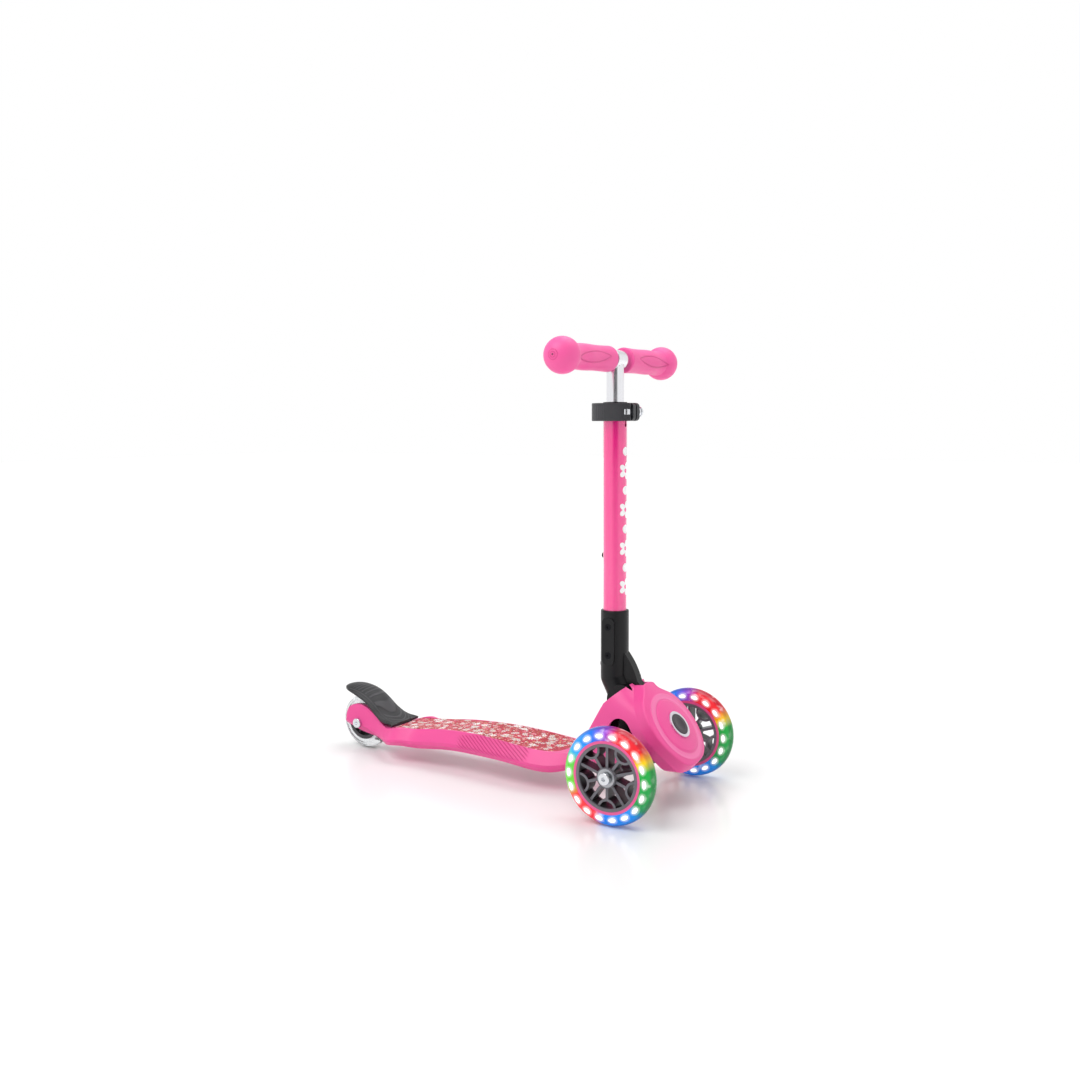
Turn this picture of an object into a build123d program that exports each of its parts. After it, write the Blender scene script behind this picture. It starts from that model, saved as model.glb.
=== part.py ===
from build123d import *
import math
import os

os.makedirs("parts", exist_ok=True)

# A child's three-wheel kick scooter with a folding, height-adjustable T-bar.
# Millimetres.  X forward, Y to the rider's left, Z up, origin on the floor at the middle.

# Driving dimensions.
FRONT_AXLE_X = 225.0
REAR_AXLE_X = -245.0
FRONT_R = 60.0
REAR_R = 40.0
TYRE_W = 24.0
TRACK_HALF = 115.5
BAR_X = 169.0
BAR_Z = 555.0
OUTER_R = 15.0
INNER_R = 11.0
TUBE_WALL = 1.8
GRIP_END_Y = 152.0
FIT = 0.05

# The steering axis lies in the middle plane and rises towards the front.
LEAN_DEG = 37.0
POD_APEX = Vector(260.5, 0, 101.0)
LEAN_DIR = Vector(math.cos(math.radians(LEAN_DEG)), 0, math.sin(math.radians(LEAN_DEG)))

# The fold hinge, across the pod under the sleeve.
FOLD_X = 187.0
FOLD_Z = 126.0

PARTS = {}


def tube_between(outer_r, inner_r, start, end):
    """A round bar, or a tube if inner_r is over zero, from one point to another."""
    a = Vector(*start)
    b = Vector(*end)
    plane = Plane(origin=a, z_dir=b - a)
    length = (b - a).length
    body = extrude(plane * Circle(outer_r), length)
    if inner_r > 0:
        body -= extrude(plane * Circle(inner_r), length)
    return body


def across(outer_r, inner_r, x, z, y0, y1):
    """A round bar or tube along Y."""
    return tube_between(outer_r, inner_r, (x, y0, z), (x, y1, z))


def upright(outer_r, inner_r, z0, z1, x=BAR_X):
    """A round bar or tube along Z on the T-bar's axis."""
    return tube_between(outer_r, inner_r, (x, 0, z0), (x, 0, z1))


def side_plate(wire_or_points, y0, y1):
    """A plate whose side outline, in X and Z, runs from y0 to y1."""
    plane = Plane(origin=(0, y1, 0), x_dir=(1, 0, 0), z_dir=(0, -1, 0))
    if isinstance(wire_or_points, list):
        face = make_face(Polyline(*wire_or_points, close=True))
    else:
        face = wire_or_points
    return extrude(plane * face, y1 - y0)


def lean_plane(depth):
    """The plane square to the steering axis, this far behind the pod's nose."""
    return Plane(origin=POD_APEX - LEAN_DIR * depth, x_dir=(0, 1, 0), z_dir=LEAN_DIR)


def on_lean_axis(outer_r, inner_r, near, far):
    """A round bar or tube on the steering axis between two depths."""
    a = POD_APEX - LEAN_DIR * far
    b = POD_APEX - LEAN_DIR * near
    return tube_between(outer_r, inner_r, tuple(a), tuple(b))


def box(x0, x1, y0, y1, z0, z1):
    """An upright block between two corners."""
    size = (x1 - x0, y1 - y0, z1 - z0)
    middle = ((x0 + x1) / 2, (y0 + y1) / 2, (z0 + z1) / 2)
    return Pos(*middle) * Box(*size)


def soften(body, edges, radius):
    """A fillet, made smaller where the full radius doesn't fit."""
    for share in (1.0, 0.8, 0.6, 0.3):
        try:
            result = fillet(edges, radius * share)
            if result.is_valid:
                return result
        except Exception:
            continue
    return body


def keep(name, body):
    PARTS[name] = body


# ---------------------------------------------------------------- deck
NECK_TOP = 44.0
DECK_NECK_END = 172.0
DECK_SCREWS = [(141.0, -18.0), (141.0, 18.0), (163.0, -18.0), (163.0, 18.0)]
SHEET_T = 1.2
FORK_OUT = 22.5
FORK_IN = 13.8
BRAKE_PIN_X = -181.0
BRAKE_PIN_Z = 40.5

# Along the deck: x, half width of the top, greatest half width, top height, bottom height.
DECK_STATIONS = [
    (-268.0, 20.5, 22.5, 52.0, 36.0),
    (-262.0, 20.5, 22.5, 62.0, 32.0),
    (-250.0, 20.5, 22.5, 67.0, 27.5),
    (-232.0, 20.5, 22.5, 65.0, 23.5),
    (-212.0, 21.0, 24.0, 53.0, 20.0),
    (-196.0, 25.0, 31.0, 43.5, 18.5),
    (-175.0, 36.5, 45.5, 43.5, 20.5),
    (-140.0, 34.0, 45.0, 48.0, 22.5),
    (-95.0, 32.5, 43.5, 53.0, 25.5),
    (-45.0, 34.0, 45.0, 56.3, 28.5),
    (5.0, 38.0, 50.0, 55.5, 28.8),
    (50.0, 40.5, 53.0, 52.2, 26.5),
    (85.0, 38.0, 51.5, 50.0, 23.8),
    (108.0, 33.0, 44.0, 49.5, 26.0),
    (126.5, 28.0, 34.0, 49.5, 31.0),
]


def deck_section(x, top, wide, high, low):
    """The deck's cross-section: a flat top, a sloping flank and a tucked-in underside."""
    depth = high - low
    flank_z = low + 0.42 * depth
    foot = wide - min(9.0, 0.28 * depth)
    points = [
        (top, high),
        (wide, flank_z),
        (wide - 0.4, flank_z - 0.16 * depth),
        (foot, low),
    ]
    mirrored = [(-y, z) for y, z in reversed(points)]
    plane = Plane(origin=(x, 0, 0), x_dir=(0, 1, 0), z_dir=(1, 0, 0))
    return plane * make_face(Polyline(*points, *mirrored, close=True))


def sheet_outline(offset):
    """Half widths of the printed sheet along the deck, with rounded front corners."""
    stations = [
        (-173.0, 34.0),
        (-140.0, 31.5),
        (-95.0, 30.0),
        (-45.0, 32.0),
        (5.0, 36.5),
        (50.0, 38.5),
        (80.0, 36.5),
        (96.0, 30.0),
        (103.0, 18.0),
    ]
    left = [(x, y + offset) for x, y in stations]
    right = [(x, -y - offset) for x, y in reversed(stations)]
    nose = (stations[-1][0] + 1.5 + offset, 0)
    rear = (stations[0][0] - offset, 0)
    edge = Spline(*left, nose, *right) + Polyline(right[-1], rear, left[0])
    return make_face(edge)


def camber_layer(above, below):
    """A layer that follows the deck's camber, from this far above it to this far below."""
    upper = [(x, high + above) for x, _, _, high, _ in DECK_STATIONS[6:]]
    lower = [(x, z - above - below) for x, z in reversed(upper)]
    edge = Spline(*upper) + Line(upper[-1], lower[0]) + Spline(*lower) + Line(lower[-1], upper[0])
    return side_plate(make_face(edge), -60, 60)


def make_deck():
    sections = [deck_section(*station) for station in DECK_STATIONS]
    body = loft(sections)
    # The well for the rear wheel, between the fork arms.
    well = across(REAR_R + 4.0, 0, REAR_AXLE_X, REAR_R, -FORK_IN, FORK_IN)
    well += box(-300, REAR_AXLE_X, -FORK_IN, FORK_IN, -10, 90)
    well += box(REAR_AXLE_X - 1, -201.5, -FORK_IN, FORK_IN, REAR_R, 90)
    well += box(REAR_AXLE_X - 1, -201.5, -FORK_IN, FORK_IN, -10, REAR_R)
    body -= well
    body -= across(4.05, 0, REAR_AXLE_X, REAR_R, -40, 40)
    for y in (-30.0, FORK_OUT - 0.02):
        body -= across(8.4, 0, REAR_AXLE_X, REAR_R, y, y + 7.52)
    # The recess that takes the printed sheet.
    recess = extrude(Plane.XY * sheet_outline(0.4), 100) & camber_layer(8.0, SHEET_T)
    body -= recess
    # The seat for the brake's root, open behind.
    body -= box(-215, BRAKE_PIN_X + 7.5, -15.3, 15.3, BRAKE_PIN_Z - 7.5, 90)
    body -= across(2.05, 0, BRAKE_PIN_X, BRAKE_PIN_Z, -24, 24)
    # The hollow underside, with cross ribs left standing.
    for index in range(8):
        x0 = -150 + index * 31.0
        body -= box(x0, x0 + 28.0, -26, -1.5, 10, 40)
        body -= box(x0, x0 + 28.0, 1.5, 26, 10, 40)
    body -= box(127.0, 140, -70, 70, NECK_TOP, 80)
    body += loft([neck_section(118.0, 33.0, 31.0), neck_section(DECK_NECK_END, 26.0, 34.0)])
    for x, y in DECK_SCREWS:
        body -= tube_between(2.05, 0, (x, y, 20), (x, y, 60))
    return body


def neck_section(x, half, low):
    """The neck that carries the steering bracket ahead of the deck's board."""
    plane = Plane(origin=(x, 0, 0), x_dir=(0, 1, 0), z_dir=(1, 0, 0))
    return plane * make_face(Polyline((-half, NECK_TOP), (-half + 3, low), (half - 3, low),
                                      (half, NECK_TOP), close=True))


def make_sheet():
    layer = extrude(Plane.XY * sheet_outline(0.2), 100)
    return layer & camber_layer(-0.05, SHEET_T)


def make_deck_screws():
    """Screws that come up through the neck into the steering bracket."""
    body = None
    for x, y in DECK_SCREWS:
        screw = tube_between(2.0, 0, (x, y, 30.0), (x, y, NECK_TOP + 3.5))
        screw += tube_between(4.0, 1.5, (x, y, 27.5), (x, y, 30.0))
        body = screw if body is None else body + screw
    return body


keep("deck", make_deck())
keep("deck_sheet", make_sheet())
keep("deck_screws", make_deck_screws())


# ---------------------------------------------------------------- pod
POD_RIM = 7.0
POD_DEPTH = 20.0
POD_WALL = 3.4
POD_FLOOR = 38.0
BUTTON_R = 13.8
BEZEL_R = 17.9
KINGPIN_R = 5.0
TRUCK_NEAR = 38.0
TRUCK_FAR = 68.0
ARCH_NEAR = 35.0
ARCH_FAR = 71.0
ARCH_TOP = 47.0
BACK_UP = Vector(0.469, 0, 0.883)
BACK_FOOT = Vector(131.0, 0, 47.0)
# Half outlines of the pod, read upwards: the first two about the steering axis, and the back one.
POD_FRONT = [(0, -53.5), (39.5, -38.0), (55.0, 0), (50.0, 25.0), (36.0, 40.0), (17.0, 50.0), (0, 57.0)]
POD_MIDDLE = [(0, -53.5), (39.5, -38.0), (55.0, 0), (51.0, 26.0), (39.5, 45.0), (19.5, 63.0), (0, 72.0)]
POD_BACK = [(0, -20), (33, -15), (42, 10), (40.5, 48), (37, 82), (27, 108), (0, 120.5)]


def lean_point(depth, rise):
    """X and Z of a point this far behind the nose and this far above the steering axis."""
    side = Vector(-LEAN_DIR.Z, 0, LEAN_DIR.X)
    point = POD_APEX - LEAN_DIR * depth + side * rise
    return (point.X, point.Z)


def closed_outline(right):
    """A closed smooth outline, the same on both sides, from its right half read upwards."""
    left = [(-w, v) for w, v in reversed(right)]
    sides = Spline(*right, tangents=[(1, 0), (-1, 0)]) + Spline(*left, tangents=[(-1, 0), (1, 0)])
    return make_face(sides)


def drawn_in(right, shrink, middle, reach):
    """The same half outline, brought in by a wall's thickness."""
    return [(max(0, w - shrink * (w > 0)), v - shrink * (v - middle) / reach) for w, v in right]


def pod_form(shrink):
    """The pod's outer form, or the same form drawn in by a wall's thickness."""
    front_outline = closed_outline(drawn_in(POD_FRONT, shrink, 6.0, 62.0))
    middle_outline = closed_outline(drawn_in(POD_MIDDLE, shrink, 8.0, 63.0))
    back_outline = closed_outline(drawn_in(POD_BACK, shrink, 52.0, 70.0))
    back_normal = Vector(BACK_UP.Z, 0, -BACK_UP.X)
    back = Plane(origin=BACK_FOOT + back_normal * shrink, x_dir=(0, 1, 0), z_dir=back_normal)
    sections = [lean_plane(-6.0) * front_outline, lean_plane(POD_DEPTH) * middle_outline, back * back_outline]
    body = loft(sections, ruled=True)
    # The domed front face.
    edge = Spline((0, -shrink), (46.0, -shrink - 4.4), (78.0, -shrink - 12.0), tangents=[(1, 0), (1, -0.30)])
    ahead = make_face(edge + Polyline((78.0, -shrink - 12.0), (78.0, 12.0), (0, 12.0), (0, -shrink)))
    body -= Plane(origin=POD_APEX, x_dir=(0, 1, 0), z_dir=LEAN_DIR) * revolve(Plane.XZ * ahead, Axis.Z)
    front_face = body.faces().sort_by(Axis((0, 0, 0), LEAN_DIR))[-1]
    return soften(body, front_face.edges(), POD_RIM - shrink)


def arch_cut():
    """The slot through both flanks, in which the axle beam swings."""
    half = (ARCH_FAR - ARCH_NEAR) / 2
    low_near = lean_point(ARCH_NEAR, -80)
    low_far = lean_point(ARCH_FAR, -80)
    top_near = lean_point(ARCH_NEAR, ARCH_TOP - half)
    top_far = lean_point(ARCH_FAR, ARCH_TOP - half)
    crown = lean_point((ARCH_NEAR + ARCH_FAR) / 2, ARCH_TOP)
    edge = Polyline(top_far, low_far, low_near, top_near) + ThreePointArc(top_near, crown, top_far)
    return side_plate(make_face(edge), -70, 70)


def make_pod():
    outer = pod_form(0)
    rear_edges = outer.faces().sort_by(Axis.X)[0].edges()
    body = soften(outer, rear_edges, 7.0) - pod_form(POD_WALL)
    body += on_lean_axis(21.0, 0, 2.0, 33.0)
    # The shallow ring round the nose.
    ring = Torus(43.0, 18.0)
    body -= Plane(origin=POD_APEX + LEAN_DIR * 13.4, x_dir=(0, 1, 0), z_dir=LEAN_DIR) * ring
    body -= on_lean_axis(BEZEL_R + FIT, 0, -10, 3.0)
    body -= on_lean_axis(BUTTON_R + 0.5, 0, -10, 16.0)
    body -= on_lean_axis(KINGPIN_R, 0, 10, 50)
    body -= arch_cut()
    # The opening at the top, and the slot in which the folding neck turns.
    body -= side_plate([(215, 162.2), (152.3, 107), (152.3, 210), (215, 210)], -70, 70)
    body -= across(50.0, 0, FOLD_X, FOLD_Z, -19.0, 19.0) - box(FOLD_X, 260, -30, 30, 50, 190)
    body -= across(22.6, 0, FOLD_X, FOLD_Z, -19.0, 19.0)
    body -= across(34.0, 0, FOLD_X, FOLD_Z, -7.5, 7.5)
    # The flat underside, and the seat over the deck's neck.
    body -= box(50, 330, -70, 70, -20, POD_FLOOR)
    body -= box(50, DECK_NECK_END + 1, -36, 36, 20, NECK_TOP)
    body -= box(50, 127.2, -70, 70, 20, 52)
    # The underside is open round the steering gear.
    body -= box(50, 236, -33, 33, 20, 60)
    # Room for the steering bracket's cheeks.
    body -= side_plate([(120, 40), (176, 40), (201, 126), (FOLD_X, 139), (172, 126)], -23.0, 23.0)
    return max(body.solids(), key=lambda solid: solid.volume)


def make_bezel():
    return on_lean_axis(BEZEL_R, BUTTON_R + 0.45, -1.0, 3.0)


def make_lock_button():
    body = on_lean_axis(BUTTON_R, 0, -1.6, 10.0)
    dish = Plane(origin=POD_APEX + LEAN_DIR * 41.2, x_dir=(0, 1, 0), z_dir=LEAN_DIR) * Sphere(40.6)
    return body - dish


def make_steering_bracket():
    """The casting on the neck: the kingpin's rear boss and two cheeks for the fold pin."""
    body = box(134.5, 171.0, -23, 23, NECK_TOP, NECK_TOP + 4.0)
    boss = on_lean_axis(12.5, 0, 71.0, 96.0)
    boss += side_plate([(150, 47), (172, 40), lean_point(72, -5), lean_point(72, 5), (168, 62)], -7, 7)
    cheeks = side_plate([(138, 46), (171, 46), (194.6, 124), (FOLD_X, 133.0), (179.4, 124)], -22.6, -18.8)
    cheeks += across(7.6, 0, FOLD_X, FOLD_Z, -22.6, -18.8)
    body += boss + cheeks + mirror(cheeks, about=Plane.XZ)
    body -= box(120, 220, -40, 40, 0, NECK_TOP)
    body -= on_lean_axis(KINGPIN_R, 0, 60, 92)
    body -= across(4.0, 0, FOLD_X, FOLD_Z, -30, 30)
    for x, y in DECK_SCREWS:
        body -= tube_between(2.0, 0, (x, y, 40), (x, y, 47.6))
    return body


def make_kingpin():
    return on_lean_axis(KINGPIN_R, 0, 17.0, 91.5)


def make_torsion_bush():
    return on_lean_axis(9.0, KINGPIN_R, TRUCK_NEAR + 0.5, TRUCK_FAR - 0.5)


def make_fold_pin():
    return across(4.0, 0, FOLD_X, FOLD_Z, -22.8, 22.8)


keep("pod_shell", make_pod())
keep("lock_bezel", make_bezel())
keep("lock_button", make_lock_button())
keep("steering_bracket", make_steering_bracket())
keep("kingpin", make_kingpin())
keep("torsion_bush", make_torsion_bush())
keep("fold_pin", make_fold_pin())


# ---------------------------------------------------------------- truck and wheels
BOLT_R = 4.0
BEARING_R = 11.0
BEARING_W = 7.0
HUB_R = 41.0
BAND_R = 44.5
LAMPS = 18
LAMP_OUT = 52.8
SPOKE_PAIRS = 5


def make_axle_beam():
    body = on_lean_axis(15.0, 0, TRUCK_NEAR, TRUCK_FAR)
    body += box(FRONT_AXLE_X - 9, FRONT_AXLE_X + 9, -58, 58, FRONT_R - 9, FRONT_R + 9)
    body += across(9.0, 0, FRONT_AXLE_X, FRONT_R, -101.0, 101.0)
    for y in (-58.0, 58.0):
        body += across(11.5, 0, FRONT_AXLE_X, FRONT_R, y - 2, y + 2)
    body -= on_lean_axis(9.0 + FIT, 0, 20, 90)
    for side in (-1, 1):
        reach = sorted((side * 72.0, side * 110.0))
        body -= across(BOLT_R, 0, FRONT_AXLE_X, FRONT_R, *reach)
    return body


def make_wheel_bolt(side):
    """The bolt on which a front wheel turns, with a socket in its domed head."""
    outer = TRACK_HALF + TYRE_W / 2
    shank = sorted((side * 72.5, side * (outer + 0.3)))
    body = across(BOLT_R, 0, FRONT_AXLE_X, FRONT_R, *shank)
    head = sorted((side * (outer + 0.3), side * (outer + 5.3)))
    cap = across(7.5, 0, FRONT_AXLE_X, FRONT_R, *head)
    body += soften(cap, cap.edges().sort_by(Axis.Y)[-1 if side > 0 else 0], 1.2)
    socket = Plane(origin=(FRONT_AXLE_X, side * (outer + 5.4), FRONT_R), z_dir=(0, -side, 0))
    body -= extrude(socket * RegularPolygon(3.0, 6), 3.4)
    collar = sorted((side * 101.3, side * (TRACK_HALF - 11.6)))
    return body + across(6.0, 0, FRONT_AXLE_X, FRONT_R, *collar)


def wheel_plane(x, y, z):
    """A wheel's own plane: its axle is the local Z, which points to the rider's left."""
    return Plane(origin=(x, y, z), x_dir=(1, 0, 0), z_dir=(0, 1, 0))


def ring(outer_r, inner_r, half_width):
    """A flat-sided ring about the local Z."""
    face = Circle(outer_r) - Circle(inner_r) if inner_r > 0 else Circle(outer_r)
    return Pos(0, 0, -half_width) * extrude(face, 2 * half_width)


def round_tyre(outer_r, inner_r, shoulder_r, half_width):
    """A tyre with a round tread, about the local Z."""
    foot = half_width - 1.5
    half = make_face(
        Polyline((shoulder_r, -half_width), (inner_r, -foot), (inner_r, foot), (shoulder_r, half_width))
        + ThreePointArc((shoulder_r, half_width), (outer_r, 0), (shoulder_r, -half_width))
    )
    return revolve(Plane.XZ * half, Axis.Z)


def front_hub():
    """Rim ring and boss joined by five straight spokes and five arches on stems."""
    body = ring(HUB_R, 37.2, 10.5) + ring(12.4, 5.5, 11.5)
    for index in range(SPOKE_PAIRS):
        turn = 360 / SPOKE_PAIRS * index - 90
        straight = Pos(24.5, 0, 0) * Box(28, 3.4, 17)
        body += Rot(0, 0, turn) * straight
        stem = Pos(19, 0, 0) * Box(16, 3.4, 17)
        arch = Pos(38.5, 0, 0) * ring(12.6, 9.6, 8.5)
        body += Rot(0, 0, turn + 180 / SPOKE_PAIRS) * ((stem + arch) & ring(HUB_R - 1, 8, 9))
    for side in (-1, 1):
        seat = Pos(0, 0, side * 8.0) * ring(BEARING_R, 0, BEARING_W / 2 + 0.01)
        body -= seat
    return body


def lamp(radius_grow):
    """One lamp block, radial on the local X, a little larger when used as a cutter."""
    length = LAMP_OUT - BAND_R
    block = Box(length + radius_grow, 9.4 + radius_grow, 13 + radius_grow)
    return Pos(BAND_R + length / 2 + 0.02, 0, 0) * soften(block, block.edges() | Axis.Z, 1.8)


def lamp_angles():
    return [360 / LAMPS * (index + 0.5) for index in range(LAMPS)]


def front_tyre():
    body = round_tyre(FRONT_R, BAND_R, 50.5, TYRE_W / 2)
    for angle in lamp_angles():
        pocket = Pos(BAND_R + 4.0, 0, 0) * Box(9.0, 9.8, 13.4)
        body -= Rot(0, 0, angle) * pocket
    return body


def front_lamps():
    return Compound(children=[Rot(0, 0, angle) * lamp(0) for angle in lamp_angles()])


def bearing_pair():
    race = ring(BEARING_R, BOLT_R + FIT, BEARING_W / 2)
    groove = ring(9.2, 6.2, 0.3)
    pair = []
    for side in (-1, 1):
        outer_face = side * BEARING_W / 2
        pair.append(Pos(0, 0, side * 8.0) * (race - Pos(0, 0, outer_face) * groove))
    return Compound(children=pair)


def bearing_spacer():
    return ring(6.0 - 0.6, BOLT_R + FIT, 4.4)


def make_front_wheel(name, y):
    place = wheel_plane(FRONT_AXLE_X, y, FRONT_R)
    keep(name + "_hub", place * front_hub())
    keep(name + "_band", place * ring(BAND_R, HUB_R, 10.3))
    keep(name + "_tyre", place * front_tyre())
    keep(name + "_lamps", place * front_lamps())
    keep(name + "_bearings", place * bearing_pair())
    keep(name + "_spacer", place * bearing_spacer())


REAR_HUB_R = 27.0


def rear_hub():
    body = ring(REAR_HUB_R, 22.0, 10.0) + ring(13.0, 5.5, 11.5) + ring(23.0, 12.0, 3.0)
    for index in range(6):
        body += Rot(0, 0, 60 * index) * Pos(17.5, 0, 0) * Box(11, 2.6, 15)
    for side in (-1, 1):
        body -= Pos(0, 0, side * 8.0) * ring(BEARING_R, 0, BEARING_W / 2 + 0.01)
    return body


def make_rear_wheel():
    place = wheel_plane(REAR_AXLE_X, 0, REAR_R)
    keep("rear_hub", place * rear_hub())
    keep("rear_tyre", place * round_tyre(REAR_R, REAR_HUB_R, 32.0, TYRE_W / 2))
    keep("rear_bearings", place * bearing_pair())
    keep("rear_spacer", place * bearing_spacer())


def make_rear_bolt():
    body = across(BOLT_R, 0, REAR_AXLE_X, REAR_R, -FORK_OUT - 0.4, 28.4)
    head = across(7.0, 0, REAR_AXLE_X, REAR_R, -FORK_OUT - 4.6, -FORK_OUT)
    head = soften(head, head.edges().sort_by(Axis.Y)[0], 1.2)
    socket = Plane(origin=(REAR_AXLE_X, -FORK_OUT - 4.7, REAR_R), z_dir=(0, 1, 0))
    return body + head - extrude(socket * RegularPolygon(2.6, 6), 3)


def make_rear_nut():
    plane = Plane(origin=(REAR_AXLE_X, FORK_OUT, REAR_R), z_dir=(0, 1, 0))
    return extrude(plane * (RegularPolygon(7.0, 6) - Circle(BOLT_R)), 4.6)


def make_rear_spacers():
    left = across(6.2, BOLT_R + 0.01, REAR_AXLE_X, REAR_R, 11.65, FORK_IN)
    return Compound(children=[left, mirror(left, about=Plane.XZ)])


keep("axle_beam", make_axle_beam())
for side_name, side in (("left", 1), ("right", -1)):
    keep(side_name + "_wheel_bolt", make_wheel_bolt(side))
    make_front_wheel(side_name + "_wheel", side * TRACK_HALF)
make_rear_wheel()
keep("rear_bolt", make_rear_bolt())
keep("rear_nut", make_rear_nut())
keep("rear_spacers", make_rear_spacers())


# ---------------------------------------------------------------- brake
FENDER_T = 3.8
PAD_BACK_R = 46.4

# Along the brake: x and z of the crown, half width, and how far the edges drop.
FENDER_STATIONS = [
    (-174.5, 47.5, 30.5, 0.3),
    (-187.0, 51.5, 28.0, 2.0),
    (-199.0, 60.5, 27.0, 6.5),
    (-210.0, 73.0, 25.0, 9.5),
    (-221.0, 82.5, 24.5, 10.5),
    (-235.0, 89.5, 24.5, 10.0),
    (-250.0, 93.0, 24.0, 8.0),
    (-265.0, 93.6, 21.0, 5.0),
    (-274.5, 92.0, 14.5, 2.5),
    (-278.5, 90.5, 6.0, 0.8),
]


def fender_section(index):
    """A crowned strip, square to the line of the brake's crown."""
    x, z, half, drop = FENDER_STATIONS[index]
    before = FENDER_STATIONS[max(index - 1, 0)]
    after = FENDER_STATIONS[min(index + 1, len(FENDER_STATIONS) - 1)]
    forward = Vector(before[0] - after[0], 0, before[1] - after[1]).normalized()
    plane = Plane(origin=(x, 0, z), x_dir=(0, 1, 0), z_dir=forward)
    upper = ThreePointArc((half, -drop), (0, 0), (-half, -drop))
    low = -drop - FENDER_T * 0.75
    lower = ThreePointArc((-half, low), (0, -FENDER_T), (half, low))
    ends = Line((-half, -drop), (-half, low)) + Line((half, low), (half, -drop))
    return plane * make_face(upper + ends + lower)


def make_fender():
    body = loft([fender_section(index) for index in range(len(FENDER_STATIONS))])
    root = across(6.0, 0, BRAKE_PIN_X, BRAKE_PIN_Z, -15.0, 15.0)
    root += box(BRAKE_PIN_X - 6, BRAKE_PIN_X + 6, -15.0, 15.0, BRAKE_PIN_Z, 48.0)
    body += root
    holder = across(48.6, PAD_BACK_R, REAR_AXLE_X, REAR_R, -9.5, 9.5)
    body += holder & box(-262, -232, -20, 20, 60, 91)
    body -= across(PAD_BACK_R + 0.02, 0, REAR_AXLE_X, REAR_R, -9.6, 9.6)
    return body - across(2.0 + FIT, 0, BRAKE_PIN_X, BRAKE_PIN_Z, -20, 20)


def make_brake_pad():
    pad = across(PAD_BACK_R, PAD_BACK_R - 2.2, REAR_AXLE_X, REAR_R, -9.0, 9.0)
    return pad & box(-261, -233, -20, 20, 60, 91)


def make_brake_pin():
    return across(2.0, 0, BRAKE_PIN_X, BRAKE_PIN_Z, -22, 22)


keep("brake_fender", make_fender())
keep("brake_pad", make_brake_pad())
keep("brake_pin", make_brake_pin())


# ---------------------------------------------------------------- T-bar
SLEEVE_R = 18.0
SLEEVE_TOP = 239.0
SLEEVE_FLOOR = 153.0
BEND_Z = 152.0
TUBE_TOP = 499.5
CLAMP_LOW = 478.6
CLAMP_HIGH = 501.0
CLAMP_R = 18.6
EAR_X = BAR_X + 23.5
CLAMP_Z = (CLAMP_LOW + CLAMP_HIGH) / 2
BRACKET_SCREW_Z = (182.0, 218.5)
GUIDE_Z = 308.0
STEM_FOOT = 168.0
STEM_TRAVEL = 130.0
BAR_HALF = 126.0
GRIP_START = 20.0
BALL_R = 22.0
COLLAR_R = 12.2


def make_fold_bracket():
    """The sleeve over the outer tube, and the neck that bends forward to the fold pin."""
    sleeve = upright(SLEEVE_R, 0, BEND_Z, SLEEVE_TOP)
    sleeve = soften(sleeve, sleeve.edges().sort_by(Axis.Z)[-1], 1.5)
    elbow = Pos(BAR_X, 0, BEND_Z) * Sphere(SLEEVE_R)
    neck = tube_between(SLEEVE_R, 0, (BAR_X, 0, BEND_Z), (183.5, 0, 123.6))
    neck += across(20.0, 0, FOLD_X, FOLD_Z, -17.6, 17.6)
    lobe_edge = (
        Line((172, 190), (185.5, 186))
        + Spline((185.5, 186), (189.5, 181), (197.0, 169.5), (202.6, 157.2), (205.0, 150.0))
        + ThreePointArc((205.0, 150.0), (215.6, 134.4), (215.2, 115.7))
        + Polyline((215.2, 115.7), (FOLD_X, 112), (172, 190))
    )
    web = side_plate(make_face(lobe_edge), -6.5, 6.5)
    pad = box(BAR_X - 8.5, BAR_X + 8.5, -SLEEVE_R - 0.9, 0, 170, 230)
    pad = soften(pad, pad.edges() | Axis.Y, 6.0)
    body = sleeve + elbow + neck + web + pad
    body &= box(140, 230, -19, 18.6, 90, 245)
    body -= upright(OUTER_R + 0.02, 0, SLEEVE_FLOOR, 260)
    body -= across(4.0 + FIT, 0, FOLD_X, FOLD_Z, -30, 30)
    for z in BRACKET_SCREW_Z:
        body -= across(2.5, 0, BAR_X, z, -25, -10)
        body -= across(4.6, 0, BAR_X, z, -25, -SLEEVE_R + 0.6)
    # The bore of the fold latch, in the sleeve's back.
    body -= tube_between(5.6, 0, (140, 0, 168), (BAR_X - OUTER_R + 0.4, 0, 168))
    return body


def make_fold_latch():
    """The push button in the sleeve's back that frees the fold."""
    body = tube_between(5.4, 0, (150.6, 0, 168), (BAR_X - OUTER_R - 1.6, 0, 168))
    return soften(body, body.edges().sort_by(Axis.X)[0], 0.6)


def make_bracket_screws():
    screws = []
    for z in BRACKET_SCREW_Z:
        screw = across(2.45, 0, BAR_X, z, -SLEEVE_R + 0.5, -13.3)
        head = across(4.5, 0, BAR_X, z, -SLEEVE_R - 1.0, -SLEEVE_R + 0.6)
        socket = Plane(origin=(BAR_X, -SLEEVE_R - 1.1, z), z_dir=(0, 1, 0))
        screws.append(screw + head - extrude(socket * RegularPolygon(2.0, 6), 1.3))
    return Compound(children=screws)


def make_outer_tube():
    body = upright(OUTER_R, OUTER_R - TUBE_WALL, SLEEVE_FLOOR, TUBE_TOP)
    slit = box(BAR_X, BAR_X + 20, -1.6, 1.6, 473.5, 510)
    slit += tube_between(2.3, 0, (BAR_X, 0, 473.5), (BAR_X + 20, 0, 473.5))
    body -= slit
    body -= tube_between(2.5, 0, (BAR_X - 20, 0, GUIDE_Z), (BAR_X, 0, GUIDE_Z))
    for z in BRACKET_SCREW_Z:
        body -= across(2.5, 0, BAR_X, z, -20, -5)
    return body


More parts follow.
